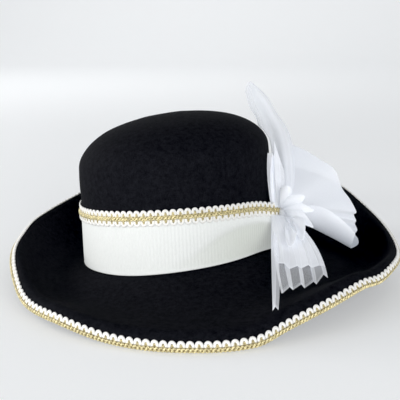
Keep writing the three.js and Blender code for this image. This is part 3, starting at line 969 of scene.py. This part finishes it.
def make_brim_gimp(sizes, colours):
    """The braid wrapped over the brim's edge, its gold along the very edge."""
    rim, rim_up = rim_table(RIM_COLUMNS, 12, RIM_STEP)
    edge = rim[:, 0]
    outward = edge - rim[:, 4]
    outward /= np.linalg.norm(outward, axis=1, keepdims=True)
    around = 360 * np.arange(RIM_COLUMNS) / RIM_COLUMNS
    lean = np.radians([round_table(BRIM_ROWS, 7, degrees) for degrees in around])
    walk = walked(np.concatenate([edge, edge[:1]]))
    half_felt = sizes.felt_thickness / MM / 2
    middle = half_felt + sizes.cord / MM / 2

    def lay(places, across, out):
        place = np.interp((places % 1) * walk[-1], walk, np.arange(len(walk)) / RIM_COLUMNS)
        tables = (lean, edge, outward, rim_up[:, 0], rim, rim_up)
        turned_up, base, away, normal, lines, ups = (closed_lookup(place, each) for each in tables)
        upper = middle * (math.pi / 2 - turned_up)
        lower = middle * (math.pi / 2 + turned_up)
        wrap = np.clip(across, -lower, upper) / middle + turned_up
        onto = np.clip(np.where(across > 0, across - upper, -across - lower), 0, 11)
        side = np.where(across > 0, 1.0, -1.0)[:, None]
        radius = (half_felt + 0.1 + out)[:, None]
        round_edge = np.cos(wrap)[:, None] * away + np.sin(wrap)[:, None] * normal
        turned = base - EDGE_INSET * away + radius * round_edge
        spot = (onto + EDGE_INSET) / RIM_STEP
        i = np.minimum(spot.astype(int), lines.shape[1] - 2)
        t = (spot - i)[:, None]
        rows = np.arange(len(i))
        flat, flat_up = (each[rows, i] * (1 - t) + each[rows, i + 1] * t for each in (lines, ups))
        laid = flat + side * radius * flat_up
        beyond = (onto > 0)[:, None]
        return np.where(beyond, laid, turned), np.where(beyond, side * flat_up, round_edge)

    count = 2 * round(walk[-1] / sizes.brim_loop * MM / 2)
    nodes = ["brim_braid", "brim_braid_gold"]
    make_gimp("brim", count, lay, BRIM_LOOP_HEIGHTS, BRIM_ROPE, sizes, colours, nodes)


# Organza bow


def bow_points(points):
    """Points of the bow, given out to the side, up and forwards from its knot."""
    turn = math.radians(BOW_TURN_DEG)
    out, up, forward = np.moveaxis(np.asarray(points, float), -1, 0)
    x = KNOT[0] + out * math.cos(turn) + forward * math.sin(turn)
    y = KNOT[1] + out * math.sin(turn) - forward * math.cos(turn)
    return np.stack([x, y, KNOT[2] + up], -1)


def smooth_path(points, count):
    """Evenly spaced points on a smooth path through given ones."""
    table = np.array(points, float)
    places = np.linspace(0, len(table) - 1, 200)
    fine = np.stack([smooth_between(table[:, c], places) for c in range(3)], -1)
    walk = walked(fine)
    return at_lengths(np.linspace(0, walk[-1], count), walk, fine)


def fan_grid(root, rows, stops, soft):
    """A fan's grid of points, with lines from root to tip at the folds and between them."""
    table = np.array(rows, float)
    n = len(table)
    places = np.append((np.arange(n - 1)[:, None] + np.array(stops)[None]).ravel(), n - 1)
    if soft:
        table = np.stack([smooth_between(table[:, c], places) for c in range(6)], -1)
    else:
        table = np.stack([np.interp(places, np.arange(n), table[:, c]) for c in range(6)], -1)
    t = (places / (n - 1))[:, None]
    start = np.array(root[0], float) * (1 - t) + np.array(root[1], float) * t
    s = np.linspace(0, 1, FAN_STEPS + 1)[None, :, None]
    return bow_points(through(start[:, None], table[:, None, :3], table[:, None, 3:], s)), places


def clear_of_crown(points, gap):
    """Points of cloth pushed out to lie beside the crown where they would sink into it."""
    angle = np.arctan2(points[..., 1], points[..., 0])
    least = beside_crown(angle, points[..., 2] - gap, gap)
    least[..., 2] = points[..., 2]
    inside = np.hypot(points[..., 0], points[..., 1]) < np.hypot(least[..., 0], least[..., 1])
    return np.where(inside[..., None], least, points)


def to_hem(grid):
    """How far each point of a grid is from the hem at the end of its line."""
    walk = np.array([walked(line) for line in grid])
    return walk[:, -1:] - walk


def cloth_piece(name, node, material, sheets, crisp_deg):
    """One panel of the bow, from grids of points, of the layers of cloth and of its shade."""
    points, faces = join_parts([sheet(grid, CLOTH) for grid, layers, shade in sheets])
    floats = {
        "layers": np.concatenate([np.tile(layers.ravel(), 2) for grid, layers, shade in sheets]),
        "shade": np.concatenate([np.tile(shade.ravel(), 2) for grid, layers, shade in sheets]),
    }
    made = piece(name, points, faces, material, "organza", [node], floats, crisp_deg)


def make_fan(name, root, rows, face_layers, node, material, row_shade=None):
    """A pleated fan, thicker to the eye along its folds, its sides and its hem."""
    soft = row_shade is not None
    grid, places = fan_grid(root, rows, SOFT_STOPS if soft else CRISP_STOPS, soft)
    face_layers = np.array(face_layers, float)
    layers = face_layers[np.minimum(places.astype(int), len(face_layers) - 1)]
    if not soft:
        on_fold = np.isclose(places, np.round(places))
        before = face_layers[np.maximum(np.ceil(places).astype(int) - 1, 0)]
        layers = np.where(on_fold, np.maximum(layers, before) + FOLD_LAYERS, layers)
    hem = (SOFT_HEM_LAYERS if soft else HEM_LAYERS) * bell(to_hem(grid), HEM_WIDTH)
    from_root = np.linspace(0, 1, grid.shape[1])[None]
    layers = layers[:, None] + hem + ROOT_LAYERS * bell(from_root, 0.3)
    shade = ROOT_SHADE * bell(from_root, 0.15) + 0 * layers
    if soft:
        shade = shade + np.interp(places, np.arange(len(rows)), row_shade)[:, None] * from_root**0.5
    cloth_piece(name, node, material, [(grid, layers, shade)], 60 if soft else 25)


def make_plume(material):
    """The tall loop, in soft folds along its length, with a rounded end."""
    left = smooth_path(PLUME_LEFT, PLUME_STEPS + 1)
    right = smooth_path(PLUME_RIGHT, PLUME_STEPS + 1)
    v = np.linspace(0, 1, PLUME_LINES)[:, None]
    s = np.linspace(0, 1, PLUME_STEPS + 1)[None]
    line = left[None] * (1 - v[..., None]) + right[None] * v[..., None]
    line[..., 1] += PLUME_ROUND_END * (1 - np.abs(2 * v - 1) ** 2.5) * s**6
    depth = np.sin(math.pi * np.clip(s * 1.05, 0, 1)) ** 0.6
    folds = 1.1 * np.sin(9 * v + 1) + 0.7 * np.sin(23 * v) * (1 - s)
    line[..., 2] += depth * (folds - 3.5 * (2 * v - 1) ** 2)
    grid = clear_of_crown(bow_points(line), PLUME_CLEAR)
    layers = 4.2 + 6 * bell(s, 0.45, 4) + 2.0 * v**2
    layers = layers + 1.2 * np.sin(17 * v + 2) * depth * (1 - 0.7 * s) - 1.6 * s**2
    shade = 0.12 + 0.16 * s**2 + 0.3 * (1 - v) + 0.12 * np.sin(13 * v + 1) * depth
    cloth_piece("organza_plume", "bow_plume", material, [(grid, layers, shade)], 60)


def make_rosette(material):
    """Soft pleats that open from the knot like petals, one over the other."""
    sheets = []
    v = np.linspace(-0.06, 1.06, 15)[:, None, None]
    s = np.linspace(0, 1, 21)[None, :, None]
    swell = 3.0 * np.sin(math.pi * s) ** 0.7 + 2.4 * (1 - (2 * v - 1) ** 2) * s**0.5
    layers = (14 - 3 * s + 0 * v)[..., 0]
    shade = (0.2 * bell(s, 0.25) + 0.12 * np.abs(2 * v - 1) ** 4)[..., 0]
    for root, left, middle, right in np.array(ROSETTE_PLEATS, float):
        end = (left + middle + right) / 3
        hem = through(left, middle, right, v)
        line = root + (end - root) * s + (hem - end) * (0.3 + 0.7 * s**0.65)
        line[..., 2] += swell[..., 0]
        sheets.append((bow_points(line), layers, shade))
    cloth_piece("organza_rosette", "bow_rosette", material, sheets, 60)


def make_knot(material):
    """The gathered middle of the bow."""
    polar = np.linspace(0, math.pi, KNOT_RINGS + 2)[1:-1, None]
    turn = circle(KNOT_COLUMNS)[None]
    gather = 1 + 0.06 * np.cos(16 * turn) * np.sin(polar) ** 2
    half_width, half_height, half_depth = KNOT_HALF_SIZE
    out = KNOT_ASIDE + half_width * np.sin(polar) * np.cos(turn) * gather
    up = half_height * np.sin(polar) * np.sin(turn) * gather
    forward = half_depth * np.cos(polar) + 0 * turn
    rings = np.stack([out, up, forward], -1).reshape(-1, 3)
    ends = [[KNOT_ASIDE, 0, half_depth], [KNOT_ASIDE, 0, -half_depth]]
    points = bow_points(np.concatenate([rings, ends]))
    floats = {"layers": np.full(len(points), 12.0), "shade": np.full(len(points), 0.15)}
    faces = capped(KNOT_RINGS, KNOT_COLUMNS)
    piece("gathered_knot", points, faces, material, "organza", ["bow_knot"], floats)


def make_bow(colours):
    """The bow: knot, tall loop, flap, side loop, rosette and tails."""
    sheer = look("sheer_organza", colours.organza)
    make_knot(sheer)
    make_plume(sheer)
    make_rosette(sheer)
    fans = [
        ("flap", FLAP_ROOT, FLAP_ROWS, FLAP_LAYERS, "bow_flap", (0.035, 0.055), 0.001),
        ("side_loop", LOOP_ROOT, LOOP_ROWS, LOOP_LAYERS, "bow_side_loop", (0.161, 0.072), 0.0058),
        ("long_tail", LONG_ROOT, LONG_ROWS, LONG_LAYERS, "bow_tail_long", (0.099, 0.101), 0.0038),
        ("short_tail", SHORT_ROOT, SHORT_ROWS, SHORT_LAYERS, "bow_tail_short", (0.06, 0.07), 0.0025),
        ("strip", STRIP_ROOT, STRIP_ROWS, STRIP_LAYERS, "bow_tail_strip", (0.0101, 0.143), 0.0009),
    ]
    for name, root, rows, layers, node, flat, area in fans:
        shade = LOOP_SHADE if name == "side_loop" else None
        make_fan("organza_" + name, root, rows, layers, node, sheer, shade)


# Stage


def make_camera():
    """The camera, at the photo's angle."""
    camera = bpy.data.objects.new("camera", bpy.data.cameras.new("camera"))
    camera.data.lens = CAMERA_LENS
    camera.data.sensor_width = SENSOR
    camera.data.clip_start = 0.01
    camera.data.clip_end = 50
    azimuth = math.radians(CAMERA_AZIMUTH_DEG)
    height = math.radians(CAMERA_HEIGHT_DEG)
    level = math.cos(height)
    look = Vector((-math.sin(azimuth) * level, math.cos(azimuth) * level, -math.sin(height)))
    turn = look.to_track_quat("-Z", "Y") @ Quaternion((0, 0, 1), math.radians(CAMERA_ROLL_DEG))
    camera.matrix_world = Matrix.Translation(CAMERA_PLACE) @ turn.to_matrix().to_4x4()
    bpy.context.scene.collection.objects.link(camera)
    bpy.context.scene.camera = camera


def make_paper(colour):
    """A pale sweep of paper that curves up behind the hat."""
    across = np.linspace(-6, 6, 13)
    bend = np.linspace(0, math.pi / 2, 13)
    depth = np.concatenate([np.linspace(-6, 2.4, 9), 2.5 + np.sin(bend), [3.5]])
    rise = np.concatenate([np.zeros(9), 1 - np.cos(bend), [7.0]])
    grid = np.array([[(x, y, z) for y, z in zip(depth, rise)] for x in across])
    mesh = bpy.data.meshes.new("paper_sweep")
    faces = ring_faces(*grid.shape[:2], False, False)
    mesh.from_pydata(grid.reshape(-1, 3).tolist(), [], faces.tolist())
    mesh.polygons.foreach_set("use_smooth", [True] * len(mesh.polygons))
    sweep = bpy.data.objects.new("paper_sweep", mesh)
    sweep.data.materials.append(look("pale_paper", colour))
    bpy.context.scene.collection.objects.link(sweep)


def make_stage(colours):
    """The camera, the paper, the soft studio light and how the picture is shown."""
    make_camera()
    make_paper(colours.paper)
    for light in LIGHTS:
        add_light(*light)
    world = bpy.data.worlds.new("studio")
    world.use_nodes = True
    background = world.node_tree.nodes["Background"]
    background.inputs["Color"].default_value = (0.965, 0.985, 1.0, 1)
    background.inputs["Strength"].default_value = WORLD_LIGHT
    scene = bpy.context.scene
    scene.world = world
    scene.view_settings.view_transform = "Standard"
    scene.view_settings.use_curve_mapping = True
    scene.view_settings.curve_mapping.black_level = (BLACK_LEVEL, BLACK_LEVEL, BLACK_LEVEL)
    scene.view_settings.curve_mapping.update()
    scene.cycles.transparent_max_bounces = CLEAR_BOUNCES


def add_light(name, place, aim, size, power, colour):
    """A square soft light that faces a point."""
    data = bpy.data.lights.new(name, "AREA")
    data.shape = "SQUARE"
    data.size = size
    data.energy = power
    data.color = colour
    light = bpy.data.objects.new(name, data)
    light.location = place
    light.rotation_mode = "QUATERNION"
    light.rotation_quaternion = (Vector(aim) - Vector(place)).to_track_quat("-Z", "Y")
    bpy.context.scene.collection.objects.link(light)


# Settings, operators and panel


class HatSizes(bpy.types.PropertyGroup):
    """Sizes that change how the hat's cloth and trim are made."""

    felt_thickness: bpy.props.FloatProperty(
        name="Felt", description="Thickness of the felt", default=FELT * MM, unit="LENGTH"
    )
    rib_spacing: bpy.props.FloatProperty(
        name="Ribs", description="Spacing of the ribbon's ribs", default=RIB_SPACING * MM, unit="LENGTH"
    )
    cord: bpy.props.FloatProperty(
        name="Cord", description="Thickness of the white cord", default=CORD * MM, unit="LENGTH"
    )
    gold_thread: bpy.props.FloatProperty(
        name="Gold thread", description="Thickness of a gold strand", default=GOLD_THREAD * MM, unit="LENGTH"
    )
    band_loop: bpy.props.FloatProperty(
        name="Band loops", description="Spacing of the band's loops", default=BAND_LOOP * MM, unit="LENGTH"
    )
    brim_loop: bpy.props.FloatProperty(
        name="Brim loops", description="Spacing of the brim's loops", default=BRIM_LOOP * MM, unit="LENGTH"
    )


class HatColours(bpy.types.PropertyGroup):
    """Colours of the hat's materials and of the paper it stands on."""

    felt: bpy.props.FloatVectorProperty(
        name="Felt", description="Colour of the felt", default=(0.0095, 0.0099, 0.0122), subtype="COLOR"
    )
    ribbon: bpy.props.FloatVectorProperty(
        name="Ribbon", description="Colour of the ribbon", default=(0.6, 0.612, 0.61), subtype="COLOR"
    )
    cord: bpy.props.FloatVectorProperty(
        name="Cord", description="Colour of the white cord", default=(0.92, 0.91, 0.88), subtype="COLOR"
    )
    gold: bpy.props.FloatVectorProperty(
        name="Gold", description="Colour of the gold thread", default=(0.75, 0.655, 0.37), subtype="COLOR"
    )
    organza: bpy.props.FloatVectorProperty(
        name="Organza", description="Colour of the organza", default=(0.895, 0.918, 0.965), subtype="COLOR"
    )
    paper: bpy.props.FloatVectorProperty(
        name="Paper", description="Colour of the studio paper", default=(0.66, 0.67, 0.68), subtype="COLOR"
    )


class HAT_OT_stage(bpy.types.Operator):
    """Set up the camera, the paper sweep and the lights"""

    bl_idname = "church_hat.stage"
    bl_label = "Stage"

    def execute(self, context):
        make_stage(context.scene.hat_colours)
        return {"FINISHED"}


class HAT_OT_crown(bpy.types.Operator):
    """Make the felt crown"""

    bl_idname = "church_hat.crown"
    bl_label = "Felt Crown"

    def execute(self, context):
        make_crown(context.scene.hat_sizes, context.scene.hat_colours)
        return {"FINISHED"}


class HAT_OT_brim(bpy.types.Operator):
    """Make the felt brim"""

    bl_idname = "church_hat.brim"
    bl_label = "Felt Brim"

    def execute(self, context):
        make_brim(context.scene.hat_sizes, context.scene.hat_colours)
        return {"FINISHED"}


class HAT_OT_ribbon(bpy.types.Operator):
    """Make the ribbed ribbon round the crown"""

    bl_idname = "church_hat.ribbon"
    bl_label = "Ribbon"

    def execute(self, context):
        make_ribbon(context.scene.hat_sizes, context.scene.hat_colours)
        return {"FINISHED"}


class HAT_OT_band_gimp(bpy.types.Operator):
    """Make the braid along the ribbon"""

    bl_idname = "church_hat.band_gimp"
    bl_label = "Band Braid"

    def execute(self, context):
        make_band_gimp(context.scene.hat_sizes, context.scene.hat_colours)
        return {"FINISHED"}


class HAT_OT_brim_gimp(bpy.types.Operator):
    """Make the braid over the brim's edge"""

    bl_idname = "church_hat.brim_gimp"
    bl_label = "Brim Braid"

    def execute(self, context):
        make_brim_gimp(context.scene.hat_sizes, context.scene.hat_colours)
        return {"FINISHED"}


class HAT_OT_bow(bpy.types.Operator):
    """Make the organza bow"""

    bl_idname = "church_hat.bow"
    bl_label = "Organza Bow"

    def execute(self, context):
        make_bow(context.scene.hat_colours)
        return {"FINISHED"}


class HAT_PT_panel(bpy.types.Panel):
    """Sizes, colours and the steps that make the hat"""

    bl_label = "Church Hat"
    bl_idname = "HAT_PT_panel"
    bl_space_type = "VIEW_3D"
    bl_region_type = "UI"
    bl_category = "Church Hat"

    def draw(self, context):
        layout = self.layout
        for group in (context.scene.hat_sizes, context.scene.hat_colours):
            box = layout.box()
            for name in group.__annotations__:
                box.prop(group, name)
        for operator in STEPS:
            layout.operator(operator.bl_idname)


STEPS = (
    HAT_OT_stage,
    HAT_OT_crown,
    HAT_OT_brim,
    HAT_OT_ribbon,
    HAT_OT_band_gimp,
    HAT_OT_brim_gimp,
    HAT_OT_bow,
)
CLASSES = (HatSizes, HatColours, *STEPS, HAT_PT_panel)


def register():
    """Add the hat's settings, operators and panel."""
    for each in CLASSES:
        bpy.utils.register_class(each)
    bpy.types.Scene.hat_sizes = bpy.props.PointerProperty(type=HatSizes)
    bpy.types.Scene.hat_colours = bpy.props.PointerProperty(type=HatColours)


def unregister():
    """Take the hat's settings, operators and panel out again."""
    del bpy.types.Scene.hat_colours
    del bpy.types.Scene.hat_sizes
    for each in reversed(CLASSES):
        bpy.utils.unregister_class(each)


def main():
    """Make the whole hat."""
    register()
    bpy.ops.church_hat.stage()
    bpy.ops.church_hat.crown()
    bpy.ops.church_hat.brim()
    bpy.ops.church_hat.ribbon()
    bpy.ops.church_hat.band_gimp()
    bpy.ops.church_hat.brim_gimp()
    bpy.ops.church_hat.bow()


if __name__ == "__main__":
    main()
